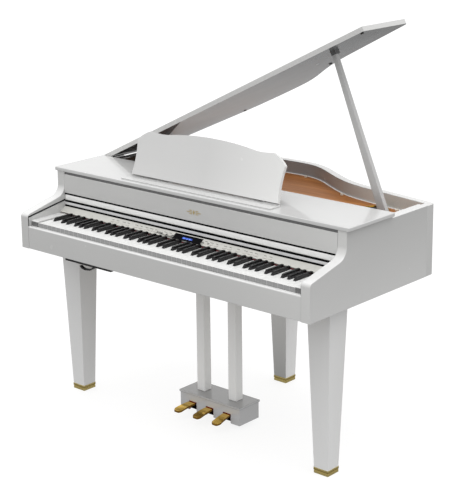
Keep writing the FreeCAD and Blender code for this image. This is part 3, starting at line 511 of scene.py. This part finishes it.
# ---- Added pieces, in millimetres: sides in X, back from FRONT, and up from the floor ----

INSIDE = 650.5                                     # half the clear width between the arms
BOARD_WALL = 190.3                                 # just behind the front panel's and the fascia's faces
CONTROL_FOOT, CONTROL_SLOPE = (165.5, 714), math.atan2(17, 24.5)
VOICE_BUTTONS = (-378, -354, -322, -298, -256, -232, -204, -180, -156, -110, -86)
SONG_BUTTONS = (88, 112, 136, 175, 199, 235, 268, 292, 316, 355, 379)
ORNAMENT_X, ORNAMENT_BACK, ORNAMENT_Z, ORNAMENT_THICK = 20, 190, 817.5, 0.5
SPEAKERS, SPEAKER_CLEAR = ((470, 649), (-400, 690)), 55
BEAD_WIDE, BEAD_TALL, BEAD_BACK = 3.5, 2.5, 507
PEDALS = (-84.5, 0, 84.5)
PEDAL_BOX_HALF, LEVER_HALF, LINING_FACE, LINING_THICK = 136, 13, 18.9, 0.6


def move_vertices(mesh, geometry, step):
    vertices = [item for item in geometry if isinstance(item, bmesh.types.BMVert)]
    bmesh.ops.translate(mesh, verts=vertices, vec=Vector(step) * MM)


def boxes(shapes, bevel):
    """A mesh of separate softened bars: each is its sides in X, Y and Z."""
    mesh = bmesh.new()
    for (x0, x1), (y0, y1), (z0, z1) in shapes:
        bar = bmesh.ops.create_cube(mesh, size=1)["verts"]
        size = Vector((x1 - x0, y1 - y0, z1 - z0)) * MM
        middle = Vector((x0 + x1, y0 + y1, z0 + z1)) * MM / 2
        for vertex in bar:
            vertex.co = middle + Vector(a * b for a, b in zip(vertex.co, size))
        if bevel:
            edges = dict.fromkeys(edge for vertex in bar for edge in vertex.link_edges)
            offset = min(bevel * MM, min(size) / 4)
            bmesh.ops.bevel(mesh, geom=list(edges), offset=offset, segments=2, affect="EDGES")
    return mesh


def bars(name, shapes, finish):
    """Level bars of the case."""
    mesh = boxes(shapes, bevel=0.3)
    bmesh.ops.translate(mesh, verts=mesh.verts, vec=(0, FRONT, 0))
    add_piece(name, mesh, MATERIALS[finish])


def on_control_panel(name, shapes, finish, bevel=0.1):
    """Bars laid on the sloping panel: their second side runs up its slope."""
    mesh = boxes(shapes, bevel)
    back, height = CONTROL_FOOT
    place = Matrix.Translation((0, FRONT + back * MM, height * MM)) @ Matrix.Rotation(CONTROL_SLOPE, 4, "X")
    bmesh.ops.transform(mesh, verts=mesh.verts, matrix=place)
    add_piece(name, mesh, MATERIALS[finish])


def both_sides(near, far):
    return (-far, -near), (near, far)


def front_details():
    """Painted shade as near-black and grey bars: the dark gaps round the key cover's lip and under the top
    board, and the small seams of the arms, the cheeks and the rest.
    """
    wide = (0.3 - INSIDE, INSIDE - 0.3)
    # Painted shade: near-black bars behind the gaps round the key cover's lip.
    bars("gap_backing", [(wide, (BOARD_WALL, 199.6), (748.4, 753)), (wide, (BOARD_WALL, 198), (777.9, 783.4)),
                         (wide, (BOARD_WALL, 195), (731, 738.4))], "shadow_and_print_black")
    # Painted shade: a dark grey strip for the shaded gap under the top board.
    bars("board_gap_shade", [(wide, (195, 201), (854, 865.8))], "painted_shade_grey")
    # Painted shade: near-black gaps where the arms meet the top board.
    bars("arm_gaps", [(side, (191, 196), (863.2, 866)) for side in both_sides(651, 688)],
         "shadow_and_print_black")
    # Painted shade: grey front faces on the cheeks.
    bars("cheek_faces", [(side, (18.9, 20.3), (690.3, 707)) for side in both_sides(614, 650)],
         "painted_shade_grey")
    # Painted shade: near-black seams on the arms.
    bars("arm_seams", [(side, (3, 5), (691, 722)) for side in both_sides(648.6, 650.4)],
         "shadow_and_print_black")
    # Painted shade: a thin grey line for the shaded seam under the rest.
    bars("rest_seam", [((-349, 349), (257.5, 259.5), (887, 888.8))], "painted_shade_grey")


def control_details():
    """The display's glass and its light, and a plain mark by each button."""
    on_control_panel("display_glass", [((-65, 68), (0.4, 26), (0.1, 0.9))], "display_plastic")
    on_control_panel("display_glow", [((-22, 25), (8, 15), (0.8, 1.1))], "glow")
    marks = []
    for number, x in enumerate(VOICE_BUTTONS + SONG_BUTTONS):
        half = 5 + 3 * (number * 7 % 5) / 4
        marks.append(((x - half, x + half), (18.4, 19.8), (0, 0.15)))
    on_control_panel("button_marks", marks, "shadow_and_print_black", bevel=0)


def ornament():
    """A plain gilt device on the front panel: a lozenge between tapering bars."""
    outlines = [[(0, -9), (6, 0), (0, 9), (-6, 0)]]
    for side in (-1, 1):
        for height, reach in ((-6, 22), (0, 34), (6, 22)):
            outlines.append([(side * 9, height - 2), (side * 9, height + 2),
                             (side * reach, height + 1.2), (side * reach, height - 1.2)])
    mesh = bmesh.new()
    for outline in outlines:
        corners = [mesh.verts.new(Vector((ORNAMENT_X + x, ORNAMENT_BACK, ORNAMENT_Z + z)) * MM)
                   for x, z in outline]
        raised = bmesh.ops.extrude_face_region(mesh, geom=[mesh.faces.new(corners)])["geom"]
        move_vertices(mesh, raised, (0, -ORNAMENT_THICK, 0))
    bmesh.ops.translate(mesh, verts=mesh.verts, vec=(0, FRONT, 0))
    bmesh.ops.recalc_face_normals(mesh, faces=mesh.faces)
    add_piece("front_ornament", mesh, MATERIALS["pale_gold"])


def by_speaker(place):
    spots = [Vector((x * MM, FRONT + back * MM)) for x, back in SPEAKERS]
    return min((place.xy - spot).length for spot in spots) < SPEAKER_CLEAR * MM


def soundboard_bead():
    """A pale bead along the joint of the soundboard and the rim."""
    mesh = clean_mesh("soundboard")
    mesh.normal_update()
    bmesh.ops.delete(mesh, geom=[face for face in mesh.faces if face.normal.z < 0.9], context="FACES")
    flat = list(mesh.faces)
    bmesh.ops.inset_region(mesh, faces=flat, thickness=BEAD_WIDE * MM, use_even_offset=True,
                           use_boundary=True)
    spare = list(flat)
    for face in mesh.faces:
        place = face.calc_center_median()
        if face not in flat and (place.y < FRONT + BEAD_BACK * MM or by_speaker(place)):
            spare.append(face)
    bmesh.ops.delete(mesh, geom=spare, context="FACES")
    raised = bmesh.ops.extrude_face_region(mesh, geom=list(mesh.faces))["geom"]
    move_vertices(mesh, raised, (0, 0, BEAD_TALL))
    bmesh.ops.recalc_face_normals(mesh, faces=mesh.faces)
    add_piece("soundboard_bead", mesh, MATERIALS["bead_lacquer_painted_glint"])


def pedal_slots():
    """The dark inside of the pedal box behind its slots, as near-black bars of painted shade, and the red
    lining of their sides.
    """
    inner_wall, behind, floor_to_lid = (293, 296), (279.2, 288), (17, 66)
    edges = [-PEDAL_BOX_HALF, *(x + side * LEVER_HALF for x in PEDALS for side in (-1, 1)), PEDAL_BOX_HALF]
    walls = [(between, inner_wall, floor_to_lid) for between in zip(edges[::2], edges[1::2])]
    walls += [((x - LEVER_HALF, x + LEVER_HALF), inner_wall, zone)
              for x in PEDALS for zone in ((17, 36.5), (52.5, 66))]
    bars("pedal_box_inside", walls, "shadow_and_print_black")
    linings = [(x + offset, x + offset + LINING_THICK)
               for offset in (LINING_FACE - LINING_THICK, -LINING_FACE) for x in PEDALS]
    bars("pedal_slot_linings", [(sides, behind, (17, 52)) for sides in linings], "red_felt")


make_camera()
make_studio()
MATERIALS = make_materials()
finish_nodes()
front_details()
control_details()
ornament()
soundboard_bead()
pedal_slots()
